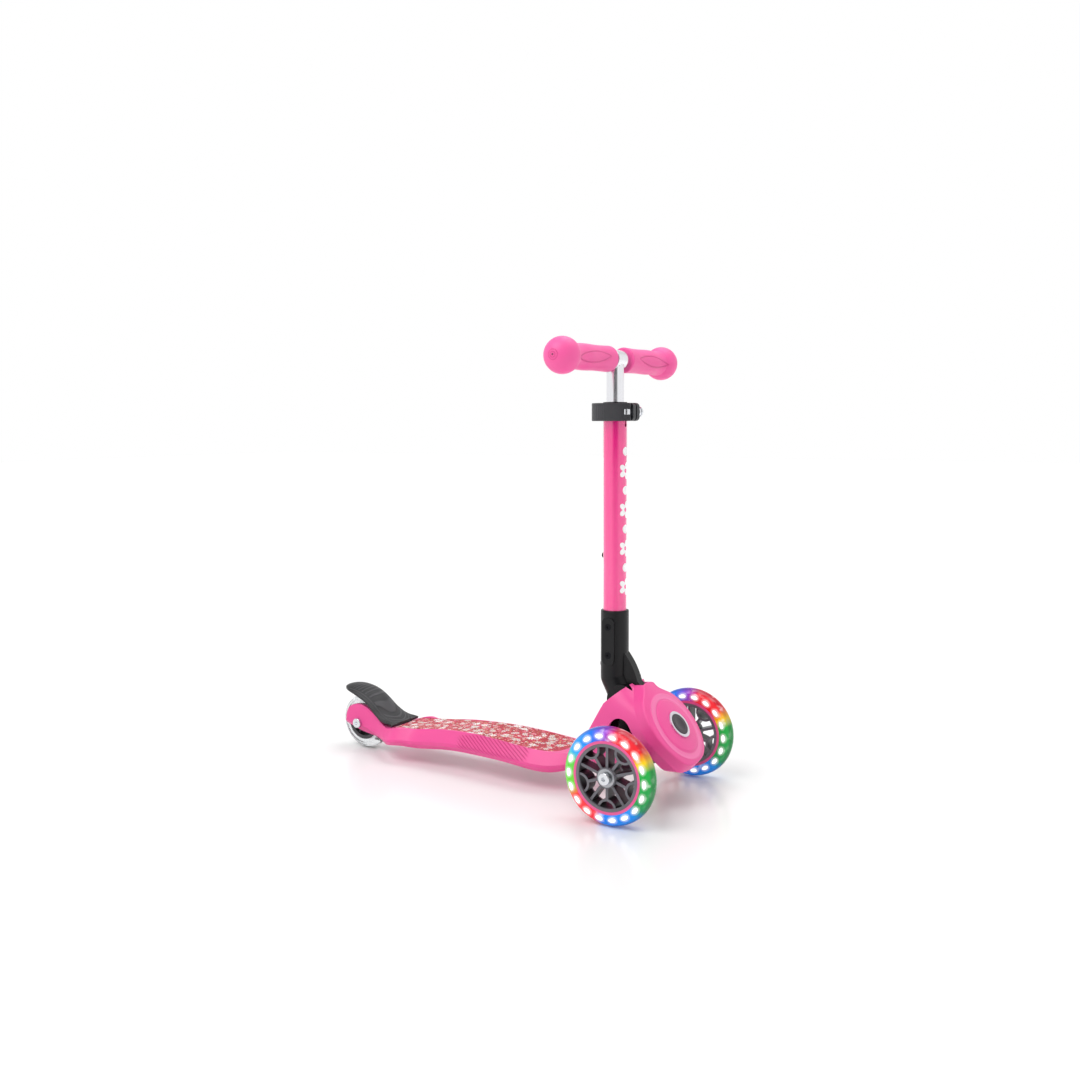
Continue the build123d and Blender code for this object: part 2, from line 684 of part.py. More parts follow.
def make_tube_bush():
    """The split plastic liner between the two tubes, at the clamp."""
    body = upright(OUTER_R - TUBE_WALL - 0.02, INNER_R + FIT, 450, TUBE_TOP)
    body += upright(OUTER_R, INNER_R + FIT, TUBE_TOP, CLAMP_HIGH + 1.2)
    return body - box(BAR_X, BAR_X + 20, -1.2, 1.2, 440, 510)


def make_guide_pin():
    """The pin through the outer tube's back that runs in the stem's slot."""
    body = tube_between(2.5, 0, (BAR_X - OUTER_R - 1.0, 0, GUIDE_Z), (BAR_X - 9.0, 0, GUIDE_Z))
    head = tube_between(3.6, 0, (BAR_X - OUTER_R - 2.6, 0, GUIDE_Z), (BAR_X - OUTER_R, 0, GUIDE_Z))
    return body + soften(head, head.edges().sort_by(Axis.X)[0], 0.9)


def make_clamp_collar():
    body = upright(CLAMP_R, OUTER_R, CLAMP_LOW, CLAMP_HIGH)
    ears = box(BAR_X + 13, EAR_X + 6.5, -8.5, 8.5, CLAMP_LOW, CLAMP_HIGH)
    ears = soften(ears, (ears.edges() | Axis.Y).group_by(Axis.X)[-1], 5.0)
    body += ears - upright(OUTER_R, 0, CLAMP_LOW, CLAMP_HIGH)
    body -= box(BAR_X, BAR_X + 40, -1.5, 1.5, CLAMP_LOW - 1, CLAMP_HIGH + 1)
    return body - across(3.0, 0, EAR_X, CLAMP_Z, -20, 20)


def make_clamp_bolt():
    body = across(3.0, 0, EAR_X, CLAMP_Z, -15.0, 17.5)
    eye = upright(5.0, 0, CLAMP_Z - 3.2, CLAMP_Z + 3.2, x=EAR_X)
    eye = Pos(0, -15.0, 0) * eye
    return body + eye - Pos(0, -15.0, 0) * upright(2.0, 0, 400, 600, x=EAR_X)


def make_clamp_nut():
    body = across(7.0, 3.0, EAR_X, CLAMP_Z, 8.5, 18.5)
    groove = across(8.0, 6.2, EAR_X, CLAMP_Z, 12.4, 14.6)
    body = soften(body, body.edges().group_by(Axis.Y)[-1], 0.8)
    return body - groove


def make_clamp_lever():
    """The quick-release lever: a forked cam at the bolt, and a handle round the collar."""
    cam_y = -15.0
    centre = Vector(BAR_X, 0)

    def ring_point(radius, degrees):
        angle = math.radians(degrees)
        return (centre.X + radius * math.cos(angle), centre.Y + radius * math.sin(angle))

    inner = [ring_point(19.4, angle) for angle in (-62, -100, -140, -172)]
    outer = [ring_point(radius, angle) for radius, angle in ((29.5, -176), (28.6, -140), (25.6, -100))]
    heel = (EAR_X - 3, cam_y - 7.2)
    nose = (EAR_X + 5.8, cam_y - 1.0)
    cam = (EAR_X + 4.4, cam_y + 3.8)
    toe = (EAR_X + 0.8, cam_y + 5.8)
    throat = (EAR_X - 6.0, cam_y + 5.8)
    edge = (
        Polyline(heel, nose, cam, toe, throat, inner[0])
        + Spline(*inner)
        + ThreePointArc(inner[-1], ring_point(26.0, -179), outer[0])
        + Spline(*outer, heel)
    )
    plan = Plane.XY.offset(CLAMP_LOW) * make_face(edge)
    body = extrude(plan, CLAMP_HIGH - CLAMP_LOW)
    body = soften(body, body.edges().group_by(Axis.Z)[-1] + body.edges().group_by(Axis.Z)[0], 1.2)
    # The gap in the fork, for the bolt's eye.
    body -= Pos(EAR_X, cam_y + 2, CLAMP_Z) * Box(15.5, 15.0, 7.2)
    body -= Pos(0, cam_y, 0) * upright(2.0, 0, 400, 600, x=EAR_X)
    return body


def make_cam_pin():
    return Pos(0, -15.0, 0) * upright(2.0, 0, CLAMP_LOW + 1.5, CLAMP_HIGH - 1.5, x=EAR_X)


def make_stem():
    """The inner tube, with the slot for the guide pin, open to the crossbar's saddle."""
    body = upright(INNER_R, INNER_R - TUBE_WALL, STEM_FOOT, BAR_Z)
    slot = box(BAR_X - 20, BAR_X, -2.8, 2.8, GUIDE_Z - STEM_TRAVEL - 4, GUIDE_Z + 1)
    for z in (GUIDE_Z - STEM_TRAVEL - 4, GUIDE_Z + 1):
        slot += tube_between(2.8, 0, (BAR_X - 20, 0, z), (BAR_X, 0, z))
    body -= slot
    return body - across(COLLAR_R + 0.02, 0, BAR_X, BAR_Z, -14, 14)


def make_crossbar():
    body = across(INNER_R, INNER_R - TUBE_WALL, BAR_X, BAR_Z, -BAR_HALF, BAR_HALF)
    collar = across(COLLAR_R, INNER_R, BAR_X, BAR_Z, -11.5, 11.5)
    collar = soften(collar, collar.edges().group_by(Axis.Y)[-1] + collar.edges().group_by(Axis.Y)[0], 0.9)
    return body + collar


def make_stem_guide():
    """The ring at the stem's foot that keeps it central in the outer tube."""
    body = upright(OUTER_R - TUBE_WALL - FIT, INNER_R, STEM_FOOT, STEM_FOOT + 5.0)
    return body


def make_grip(side):
    """A rubber grip with a ball end, about the crossbar."""
    neck_r = 16.6
    neck = (neck_r, GRIP_END_Y - BALL_R - math.sqrt(BALL_R**2 - neck_r**2))
    profile = (
        Line((INNER_R + 0.02, GRIP_START), (14.2, GRIP_START))
        + ThreePointArc((14.2, GRIP_START), (15.6, GRIP_START + 0.6), (16.2, GRIP_START + 2.0))
        + Spline((16.2, GRIP_START + 2.0), (15.9, 32), (15.6, 60), (16.0, 88), (15.4, 106), neck)
        + ThreePointArc(neck, (BALL_R, GRIP_END_Y - BALL_R), (0, GRIP_END_Y))
        + Polyline((0, GRIP_END_Y), (0, BAR_HALF), (INNER_R + 0.02, BAR_HALF), (INNER_R + 0.02, GRIP_START))
    )
    body = revolve(make_face(profile), Axis.Y)
    body = Pos(BAR_X, 0, BAR_Z) * body
    return body if side > 0 else mirror(body, about=Plane.XZ)


keep("fold_bracket", make_fold_bracket())
keep("fold_latch", make_fold_latch())
keep("bracket_screws", make_bracket_screws())
keep("outer_tube", make_outer_tube())
keep("tube_bush", make_tube_bush())
keep("guide_pin", make_guide_pin())
keep("clamp_collar", make_clamp_collar())
keep("clamp_bolt", make_clamp_bolt())
keep("clamp_nut", make_clamp_nut())
keep("clamp_lever", make_clamp_lever())
keep("cam_pin", make_cam_pin())
keep("stem", make_stem())
keep("stem_guide", make_stem_guide())
keep("crossbar", make_crossbar())
keep("left_grip", make_grip(1))
keep("right_grip", make_grip(-1))


for name, body in PARTS.items():
    export_step(body, "parts/" + name + ".step")
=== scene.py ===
"""The looks of a child's kick scooter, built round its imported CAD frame. Metres."""

import math

import bmesh
import bpy
from mathutils import Matrix, Vector

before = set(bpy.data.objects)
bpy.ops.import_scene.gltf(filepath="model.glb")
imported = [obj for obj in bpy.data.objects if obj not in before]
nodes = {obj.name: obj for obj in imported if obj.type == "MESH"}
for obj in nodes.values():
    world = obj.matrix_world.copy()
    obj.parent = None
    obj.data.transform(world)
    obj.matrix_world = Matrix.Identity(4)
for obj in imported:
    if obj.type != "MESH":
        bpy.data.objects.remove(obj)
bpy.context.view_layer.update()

# Places that the looks need, in the frame's own axes: x forward, y to the left, z up.
FRONT_AXLE = Vector((0.225, 0.0, 0.060))
TRACK_HALF = 0.1155
BAR_X = 0.169
BAR_Z = 0.555
CLAMP_Z = 0.4898
TUBE_RADIUS = 0.015
POD_NOSE = (0.2605, 0.0, 0.101)
LEAN_AXIS = (math.cos(math.radians(37)), 0.0, math.sin(math.radians(37)))

# The lamps in each front tyre.
LAMPS = 18
LAMP_CIRCLE = 0.0505

# Noise scales for the fine upright marks on drawn tube.
DRAWN_TUBE = (1200.0, 1200.0, 14.0)

WHITE = (1.0, 1.0, 1.0)


# ------------------------------------------------------------------ node helpers
class Sheet:
    """A node tree with short calls for the nodes that the materials use."""

    def __init__(self, tree):
        self.tree = tree

    def add(self, kind, **settings):
        node = self.tree.nodes.new(kind)
        for key, value in settings.items():
            setattr(node, key, value)
        return node

    def link(self, source, target):
        self.tree.links.new(source, target)

    def feed(self, socket, value):
        """Links a socket to another node's output, or sets its own value."""
        if isinstance(value, bpy.types.NodeSocket):
            self.link(value, socket)
        else:
            socket.default_value = value

    def math(self, operation, a, b=0.0, c=0.0, clamp=False):
        node = self.add("ShaderNodeMath", operation=operation, use_clamp=clamp)
        self.feed(node.inputs[0], a)
        self.feed(node.inputs[1], b)
        self.feed(node.inputs[2], c)
        return node.outputs[0]

    def plus(self, a, b):
        return self.math("ADD", a, b)

    def minus(self, a, b):
        return self.math("SUBTRACT", a, b)

    def times(self, *values):
        """The product of all the values."""
        product = values[0]
        for value in values[1:]:
            product = self.math("MULTIPLY", product, value)
        return product

    def scale_add(self, value, factor, offset):
        return self.math("MULTIPLY_ADD", value, factor, offset)

    def absolute(self, value):
        return self.math("ABSOLUTE", value)

    def hypot(self, a, b):
        return self.math("SQRT", self.plus(self.times(a, a), self.times(b, b)))

    def wave(self, value, pitch):
        """A sine wave with one crest in each pitch."""
        return self.math("SINE", self.times(value, 2 * math.pi / pitch))

    def vector(self, operation, a, b):
        node = self.add("ShaderNodeVectorMath", operation=operation)
        self.feed(node.inputs[0], a)
        self.feed(node.inputs[1], b)
        return node.outputs["Value"] if operation == "DOT_PRODUCT" else node.outputs[0]

    def mix(self, factor, a, b):
        """A colour that goes from a to b as the factor goes from 0 to 1."""
        node = self.add("ShaderNodeMix", data_type="RGBA")
        self.feed(node.inputs["Factor"], factor)
        for socket, colour in ((node.inputs[6], a), (node.inputs[7], b)):
            self.feed(socket, (*colour, 1.0) if isinstance(colour, tuple) else colour)
        return node.outputs[2]

    def step(self, value, off, on):
        """0 at off and beyond, 1 at on and beyond, smooth between. Off may be the higher one."""
        node = self.add("ShaderNodeMapRange", interpolation_type="SMOOTHSTEP")
        self.feed(node.inputs["Value"], value)
        self.feed(node.inputs["From Min"], off)
        self.feed(node.inputs["From Max"], on)
        return node.outputs["Result"]

    def within(self, reach, radius, soft):
        """1 where the radius is less than the reach, with a soft edge."""
        return self.step(self.minus(reach, radius), -soft, soft)

    def ramp(self, value, stops, interpolation="LINEAR"):
        node = self.add("ShaderNodeValToRGB")
        node.color_ramp.interpolation = interpolation
        band = node.color_ramp.elements
        while len(band) < len(stops):
            band.new(0.5)
        for element, (place, colour) in zip(band, stops):
            element.position = place
            element.color = (*colour, 1.0)
        self.feed(node.inputs[0], value)
        return node.outputs[0]

    def tones(self, value, low, high):
        """A colour between two tones, over the middle of a noise's range."""
        return self.ramp(value, [(0.3, low), (0.7, high)])

    def coords(self):
        return self.add("ShaderNodeTexCoord").outputs["Object"]

    def split(self, vector):
        node = self.add("ShaderNodeSeparateXYZ")
        self.link(vector, node.inputs[0])
        return node.outputs

    def join(self, x, y, z):
        node = self.add("ShaderNodeCombineXYZ")
        for socket, value in zip(node.inputs, (x, y, z)):
            self.feed(socket, value)
        return node.outputs[0]

    def noise(self, vector, scale, detail=2.0):
        node = self.add("ShaderNodeTexNoise")
        self.link(vector, node.inputs["Vector"])
        node.inputs["Scale"].default_value = scale
        node.inputs["Detail"].default_value = detail
        return node.outputs["Fac"]

    def stretched_noise(self, vector, scales, detail):
        """Noise with its own scale along each axis."""
        stretch = self.add("ShaderNodeMapping")
        stretch.inputs["Scale"].default_value = scales
        self.link(vector, stretch.inputs["Vector"])
        return self.noise(stretch.outputs[0], 1.0, detail)

    def bump(self, height, distance, normal=None):
        """A raised pattern, on top of another one's normal where that is given."""
        node = self.add("ShaderNodeBump")
        node.inputs["Strength"].default_value = 1.0
        node.inputs["Distance"].default_value = distance
        self.feed(node.inputs["Height"], height)
        if normal is not None:
            self.link(normal, node.inputs["Normal"])
        return node.outputs[0]

    def grain(self, place, scale, depth, detail=2.0):
        return self.bump(self.noise(place, scale, detail), depth)

    def petal_reach(self, angle, petals, waist):
        """How far a flower reaches at an angle: 1 at a petal's tip, the waist between two petals."""
        lobes = self.absolute(self.math("COSINE", self.times(angle, petals / 2)))
        return self.scale_add(lobes, 1.0 - waist, waist)


def srgb(red, green, blue):
    """A linear colour from 0-255 display values."""

    def linear(value):
        value /= 255.0
        return value / 12.92 if value <= 0.04045 else ((value + 0.055) / 1.055) ** 2.4

    return (linear(red), linear(green), linear(blue))


def shade(colour, factor):
    return tuple(channel * factor for channel in colour)


def new_material(name):
    material = bpy.data.materials.new(name)
    material.use_nodes = True
    sheet = Sheet(material.node_tree)
    shader = material.node_tree.nodes["Principled BSDF"]
    return material, sheet, shader


def uneven_gloss(sheet, shader, place, middle):
    """A roughness that drifts a little to either side of its middle value."""
    spread = 0.16
    drift = sheet.noise(place, 45.0, 4.0)
    sheet.link(sheet.scale_add(drift, spread, middle - spread / 2), shader.inputs["Roughness"])


def milky(shader, weight):
    """Lets light scatter a little way under the surface, reddest furthest."""
    shader.inputs["Subsurface Weight"].default_value = weight
    shader.inputs["Subsurface Radius"].default_value = (0.004, 0.002, 0.0025)
    shader.inputs["Subsurface Scale"].default_value = 1.0


# ------------------------------------------------------------------ plain materials
def moulded(name, colour, roughness, grain=0.00004, grain_scale=900.0, specular=0.5):
    """Moulded plastic or rubber: fine grain, faint flow marks and uneven gloss."""
    material, sheet, shader = new_material(name)
    place = sheet.coords()
    flow = sheet.noise(place, 14.0, 3.0)
    lighter = tuple(channel * 1.05 + 0.004 for channel in colour)
    sheet.link(sheet.tones(flow, shade(colour, 0.95), lighter), shader.inputs["Base Color"])
    uneven_gloss(sheet, shader, place, roughness)
    sheet.link(sheet.grain(place, grain_scale, grain), shader.inputs["Normal"])
    shader.inputs["Specular IOR Level"].default_value = specular
    return material


def metal(name, colour, roughness, brushed=(60.0, 60.0, 900.0), depth=0.00002):
    """Bare or plated metal, with fine marks drawn out along one direction."""
    material, sheet, shader = new_material(name)
    place = sheet.coords()
    marks = sheet.stretched_noise(place, brushed, 3.0)
    wear = sheet.noise(place, 30.0, 4.0)
    sheet.link(sheet.tones(marks, shade(colour, 0.93), colour), shader.inputs["Base Color"])
    sheet.link(sheet.scale_add(wear, 0.10, roughness - 0.05), shader.inputs["Roughness"])
    shader.inputs["Metallic"].default_value = 1.0
    sheet.link(sheet.bump(marks, depth), shader.inputs["Normal"])
    return material


# ------------------------------------------------------------------ pink plastics
PINK = srgb(240, 78, 154)
# A paler pink, painted onto the pod's raised ring as a painted sheen.
PINK_SHEEN = srgb(252, 148, 198)
# A deeper pink, painted as shade in the deck's rib grooves and along the grips' raised marks.
PINK_SHADE = srgb(214, 22, 118)


def pink_shell():
    """The pod's pink plastic, satin with a faint grain, and a raised ring round the nose painted paler as a
    painted sheen.
    """
    material, sheet, shader = new_material("pink_shell")
    place = sheet.coords()
    from_nose = sheet.vector("SUBTRACT", place, POD_NOSE)
    depth = sheet.vector("DOT_PRODUCT", from_nose, LEAN_AXIS)
    whole = sheet.vector("DOT_PRODUCT", from_nose, from_nose)
    reach = sheet.math("SQRT", sheet.minus(whole, sheet.times(depth, depth)))
    inner_edge = sheet.step(reach, 0.0370, 0.0395)
    outer_edge = sheet.step(reach, 0.0475, 0.0445)
    front_only = sheet.step(depth, -0.016, -0.013)
    ring = sheet.times(inner_edge, outer_edge, front_only)
    tone = sheet.tones(sheet.noise(place, 12.0, 3.0), shade(PINK, 0.96), PINK)
    # The raised ring is painted paler: a painted sheen where it catches the light.
    sheet.link(sheet.mix(sheet.times(ring, 0.42), tone, PINK_SHEEN), shader.inputs["Base Color"])
    uneven_gloss(sheet, shader, place, 0.38)
    milky(shader, 0.06)
    fine = sheet.grain(place, 900.0, 0.00004)
    sheet.link(sheet.bump(ring, 0.0007, fine), shader.inputs["Normal"])
    return material


def pink_deck():
    """The deck's pink plastic, with the diagonal ribs pressed into each flank and painted shade in their
    grooves.
    """
    material, sheet, shader = new_material("pink_deck")
    place = sheet.coords()
    x, y, z = sheet.split(place)
    slope, pitch = 1.9, 0.0072
    groove = sheet.step(sheet.wave(sheet.scale_add(z, slope, x), pitch), 0.1, 0.8)
    rear_end = sheet.step(x, -0.056, -0.044)
    front_end = sheet.step(x, 0.068, 0.058)
    outside = sheet.step(sheet.absolute(y), 0.0355, 0.0375)
    upper = sheet.step(z, 0.0345, 0.0385)
    ribs = sheet.times(groove, rear_end, front_end, outside, upper)
    tone = sheet.tones(sheet.noise(place, 12.0, 3.0), shade(PINK, 0.95), PINK)
    # The pressed grooves are painted deeper pink as painted shade.
    sheet.link(sheet.mix(sheet.times(ribs, 0.7), tone, PINK_SHADE), shader.inputs["Base Color"])
    uneven_gloss(sheet, shader, place, 0.40)
    milky(shader, 0.06)
    fine = sheet.grain(place, 900.0, 0.00004)
    sheet.link(sheet.bump(sheet.times(ribs, -1.0), 0.0016, fine), shader.inputs["Normal"])
    return material


def pink_grip():
    """The grips' soft rubber, with a raised leaf on each face and rings on the rounded end, with painted
    shade along both.
    """
    material, sheet, shader = new_material("pink_grip")
    place = sheet.coords()
    x, y, z = sheet.split(place)
    side = sheet.absolute(y)
    ahead = sheet.minus(x, BAR_X)
    above = sheet.minus(z, BAR_Z)
    reach = sheet.hypot(ahead, above)

    leaf_middle, leaf_half_length, leaf_half_width, leaf_tilt = 0.078, 0.040, 0.0068, 0.0025
    along = sheet.math("DIVIDE", sheet.minus(side, leaf_middle), leaf_half_length)
    spread = sheet.minus(1.0, sheet.times(along, along))
    from_spine = sheet.absolute(sheet.scale_add(along, leaf_tilt, above))
    from_outline = sheet.absolute(sheet.minus(from_spine, sheet.times(spread, leaf_half_width)))
    leaf = sheet.times(sheet.step(from_outline, 0.0011, 0.0004), sheet.step(spread, 0.0, 0.05))

    ring_pitch = 0.0027
    on_end = sheet.step(side, 0.140, 0.143)
    crests = sheet.step(sheet.wave(reach, ring_pitch), 0.2, 0.8)
    rings = sheet.times(crests, sheet.step(reach, 0.0082, 0.0076), on_end)
    dot = sheet.times(sheet.step(reach, 0.0014, 0.0010), on_end)

    marks = sheet.math("MAXIMUM", leaf, rings)
    tone = sheet.tones(sheet.noise(place, 14.0, 3.0), srgb(240, 84, 156), srgb(244, 92, 162))
    # The leaf's outline and the rings are painted deeper pink as painted shade along the raised marks.
    tone = sheet.mix(sheet.times(marks, 0.42), tone, PINK_SHADE)
    tone = sheet.mix(dot, tone, srgb(120, 20, 70))
    sheet.link(tone, shader.inputs["Base Color"])
    uneven_gloss(sheet, shader, place, 0.45)
    milky(shader, 0.10)
    fine = sheet.grain(place, 1300.0, 0.00006)
    sheet.link(sheet.bump(marks, 0.0009, fine), shader.inputs["Normal"])
    return material


# ------------------------------------------------------------------ the printed deck sheet
# The colours that each layer's flowers take, by a random number from 0 to 1.
SPECK_TONES = [(0.0, srgb(60, 92, 66)), (0.55, srgb(150, 150, 90)), (0.7, srgb(40, 60, 60)),
               (0.85, srgb(235, 200, 190))]
SMALL_TONES = [(0.0, srgb(232, 228, 226)), (0.5, srgb(222, 164, 140)), (0.65, srgb(226, 178, 184)),
               (0.82, srgb(150, 14, 50))]
MIDDLE_TONES = [(0.0, srgb(226, 222, 224)), (0.5, srgb(206, 178, 172)), (0.62, srgb(228, 116, 146)),
                (0.8, srgb(214, 210, 214))]
LARGE_TONES = [(0.0, srgb(236, 234, 236)), (0.5, srgb(214, 208, 208)), (0.8, srgb(240, 240, 242))]

# Each layer: flowers per metre, petals, reach, shift, petal tones, heart colour.
FLOWER_LAYERS = [
    (300.0, 4, 0.0012, 5.0, SPECK_TONES, srgb(70, 90, 60)),
    (190.0, 6, 0.0019, 1.0, SMALL_TONES, srgb(240, 170, 40)),
    (112.0, 5, 0.0036, 2.0, MIDDLE_TONES, srgb(200, 120, 60)),
    (60.0, 8, 0.0066, 3.0, LARGE_TONES, srgb(206, 160, 80)),
]


def flower_layer(sheet, place, scale, petals, size, shift):
    """One layer of flowers: its mask, its heart's mask and a random number for each flower."""
    moved = sheet.vector("ADD", place, (shift * 0.137, shift * 0.271, 0.0))
    cells = sheet.add("ShaderNodeTexVoronoi", voronoi_dimensions="2D", feature="F1")
    sheet.link(moved, cells.inputs["Vector"])
    cells.inputs["Scale"].default_value = scale
    cells.inputs["Randomness"].default_value = 0.75
    dx, dy, _ = sheet.split(sheet.vector("SUBTRACT", moved, cells.outputs["Position"]))
    turn, growth, chance = sheet.split(cells.outputs["Color"])
    radius = sheet.hypot(dx, dy)
    angle = sheet.plus(sheet.math("ARCTAN2", dy, dx), sheet.times(turn, 2 * math.pi))
    grown = sheet.times(sheet.scale_add(growth, 0.45, 0.62), size)
    flower = sheet.within(sheet.times(sheet.petal_reach(angle, petals, 0.38), grown), radius, 0.00006)
    heart = sheet.within(sheet.times(grown, 0.26), radius, 0.00005)
    return flower, heart, chance


def printed_sheet():
    """The deck's printed cover: many small flowers on red and pink, under a clear grained skin."""
    material, sheet, shader = new_material("printed_sheet")
    place = sheet.coords()
    ground = [(0.25, srgb(168, 12, 34)), (0.42, srgb(190, 22, 58)), (0.55, srgb(200, 40, 76)),
              (0.75, srgb(172, 20, 30))]
    tone = sheet.ramp(sheet.noise(place, 22.0, 3.0), ground)
    weave = sheet.noise(place, 520.0, 2.0)
    tone = sheet.mix(sheet.times(sheet.step(weave, 0.54, 0.64), 0.35), tone, srgb(206, 108, 104))
    for scale, petals, size, shift, petal_tones, heart_tone in FLOWER_LAYERS:
        flower, heart, chance = flower_layer(sheet, place, scale, petals, size, shift)
        present = sheet.step(chance, 0.38, 0.40)
        petal_tone = sheet.ramp(chance, petal_tones, "CONSTANT")
        tone = sheet.mix(sheet.times(flower, present), tone, petal_tone)
        tone = sheet.mix(sheet.times(heart, present), tone, heart_tone)
    sheet.link(tone, shader.inputs["Base Color"])
    sheet.link(sheet.scale_add(weave, 0.2, 0.42), shader.inputs["Roughness"])
    shader.inputs["Specular IOR Level"].default_value = 0.28
    sheet.link(sheet.grain(place, 1400.0, 0.00012, 1.0), shader.inputs["Normal"])
    return material


# ------------------------------------------------------------------ tyres and lamps
# The glow round a front tyre, by turns from its top.
GLOW = [
    (0.000, srgb(150, 60, 190)), (0.035, srgb(225, 40, 60)), (0.140, srgb(232, 30, 36)),
    (0.175, srgb(240, 200, 20)), (0.205, srgb(20, 165, 60)), (0.350, srgb(8, 140, 70)),
    (0.385, srgb(0, 130, 220)), (0.520, srgb(0, 120, 225)), (0.550, srgb(232, 40, 60)),
    (0.660, srgb(236, 60, 60)), (0.700, srgb(110, 205, 50)), (0.800, srgb(90, 200, 70)),
    (0.840, srgb(30, 160, 235)), (0.940, srgb(20, 110, 225)), (1.000, srgb(150, 60, 190)),
]


def wheel_angle(sheet, place, centre):
    """The angle round a wheel in turns, from its top and forward, and the radius."""
    x, _, z = sheet.split(place)
    dx = sheet.minus(x, centre.x)
    dz = sheet.minus(z, centre.z)
    turns = sheet.math("DIVIDE", sheet.math("ARCTAN2", dx, dz), 2 * math.pi)
    return sheet.math("FRACT", sheet.plus(turns, 1.0)), sheet.hypot(dx, dz)


def lit_tyre(name, centre):
    """Clear cast polyurethane, filled with the colours of the lamps inside it, with painted shade on its
    outer band and painted streaks of whiter glow.
    """
    material, sheet, shader = new_material(name)
    place = sheet.coords()
    turns, radius = wheel_angle(sheet, place, centre)
    nearest = sheet.minus(sheet.math("FRACT", sheet.times(turns, LAMPS)), 0.5)
    off = sheet.times(nearest, 2 * math.pi * LAMP_CIRCLE / LAMPS)
    out = sheet.minus(radius, LAMP_CIRCLE)

    def oval(half_length, half_width):
        """1 on the edge of an oval round the nearest lamp, and less inside it."""
        across = sheet.math("DIVIDE", off, half_length)
        up = sheet.math("DIVIDE", out, half_width)
        return sheet.plus(sheet.times(across, across), sheet.times(up, up))

    lamp = sheet.step(oval(0.0047, 0.0023), 1.25, 0.75)
    halo = sheet.times(sheet.step(oval(0.0082, 0.0058), 1.0, 0.1), 0.45)
    # The outer band is painted near black as painted shade.
    tread = sheet.times(sheet.step(radius, 0.0560, 0.0590), 0.45)
    ripple = sheet.noise(place, 60.0, 3.0)
    # Whiter streaks of painted glow in the clear tyre.
    streaks = sheet.times(sheet.step(ripple, 0.60, 0.72), 0.35)
    tone = sheet.mix(tread, sheet.ramp(turns, GLOW), (0.01, 0.01, 0.03))
    for whitened in (halo, streaks, lamp):
        tone = sheet.mix(whitened, tone, WHITE)
    sheet.link(tone, shader.inputs["Base Color"])
    sheet.link(tone, shader.inputs["Emission Color"])
    sheet.link(sheet.scale_add(lamp, 0.75, 0.30), shader.inputs["Emission Strength"])
    shader.inputs["Roughness"].default_value = 0.12
    shader.inputs["Specular IOR Level"].default_value = 0.35
    shader.inputs["Alpha"].default_value = 0.93
    sheet.link(sheet.bump(ripple, 0.0003), shader.inputs["Normal"])
    return material


def clear_tyre():
    """The rear tyre's clear cast polyurethane."""
    material, sheet, shader = new_material("clear_tyre")
    place = sheet.coords()
    swirl = sheet.noise(place, 40.0, 4.0)
    tint = sheet.ramp(swirl, [(0.35, (0.80, 0.84, 0.86)), (0.7, (0.95, 0.97, 0.98))])
    sheet.link(tint, shader.inputs["Base Color"])
    shader.inputs["Roughness"].default_value = 0.06
    shader.inputs["IOR"].default_value = 1.49
    shader.inputs["Transmission Weight"].default_value = 0.85
    sheet.link(sheet.bump(swirl, 0.0003), shader.inputs["Normal"])
    return material


def lamp_light():
    """A lamp's lit white cover, with a faint sparkle."""
    material, sheet, shader = new_material("lamp_light")
    place = sheet.coords()
    sparkle = sheet.noise(place, 700.0, 2.0)
    tone = sheet.tones(sparkle, (0.92, 0.96, 1.0), (1.0, 1.0, 0.97))
    sheet.link(tone, shader.inputs["Base Color"])
    sheet.link(tone, shader.inputs["Emission Color"])
    shader.inputs["Emission Strength"].default_value = 1.4
    shader.inputs["Roughness"].default_value = 0.3
    return material


# ------------------------------------------------------------------ parts with a finish of their own
def tube_print(sheet, place):
    """The mask of a column of flowers and dots, in turn, up the front of the outer tube."""
    x, y, z = sheet.split(place)
    low, pitch, count, soft = 0.257, 0.0245, 8, 0.00012
    forward = sheet.minus(x, BAR_X)
    across = sheet.times(sheet.math("ARCTAN2", y, forward), TUBE_RADIUS)
    rise = sheet.math("DIVIDE", sheet.minus(z, low), pitch)
    height = sheet.times(sheet.minus(sheet.math("FRACT", rise), 0.5), pitch)
    radius = sheet.hypot(across, height)
    angle = sheet.math("ARCTAN2", height, across)
    petals = sheet.within(sheet.times(sheet.petal_reach(angle, 5, 0.50), 0.0112), radius, soft)
    heart = sheet.within(0.0028, radius, soft)
    flower = sheet.math("SUBTRACT", petals, heart, clamp=True)
    dot = sheet.within(0.0056, radius, soft)
    odd = sheet.math("MODULO", sheet.math("FLOOR", rise), 2.0)
    shape = sheet.plus(sheet.times(flower, sheet.minus(1.0, odd)), sheet.times(dot, odd))
    started = sheet.math("GREATER_THAN", rise, 0.0)
    unfinished = sheet.math("LESS_THAN", rise, float(count))
    in_front = sheet.math("GREATER_THAN", forward, 0.0)
    return sheet.times(shape, started, unfinished, in_front)


def anodised_tube():
    """The outer tube's pink anodising, with a column of plain white shapes up its front."""
    material, sheet, shader = new_material("anodised_tube")
    place = sheet.coords()
    printed = tube_print(sheet, place)
    drawn = sheet.stretched_noise(place, DRAWN_TUBE, 2.0)
    skin = sheet.tones(drawn, srgb(240, 0, 130), srgb(248, 2, 138))
    sheet.link(sheet.mix(printed, skin, (0.94, 0.94, 0.95)), shader.inputs["Base Color"])
    sheet.link(sheet.times(sheet.minus(1.0, printed), 0.12), shader.inputs["Metallic"])
    sheet.link(sheet.scale_add(printed, 0.20, 0.24), shader.inputs["Roughness"])
    shader.inputs["Coat Weight"].default_value = 1.0
    shader.inputs["Coat IOR"].default_value = 1.85
    shader.inputs["Coat Roughness"].default_value = 0.10
    sheet.link(sheet.bump(drawn, 0.000012), shader.inputs["Normal"])
    return material


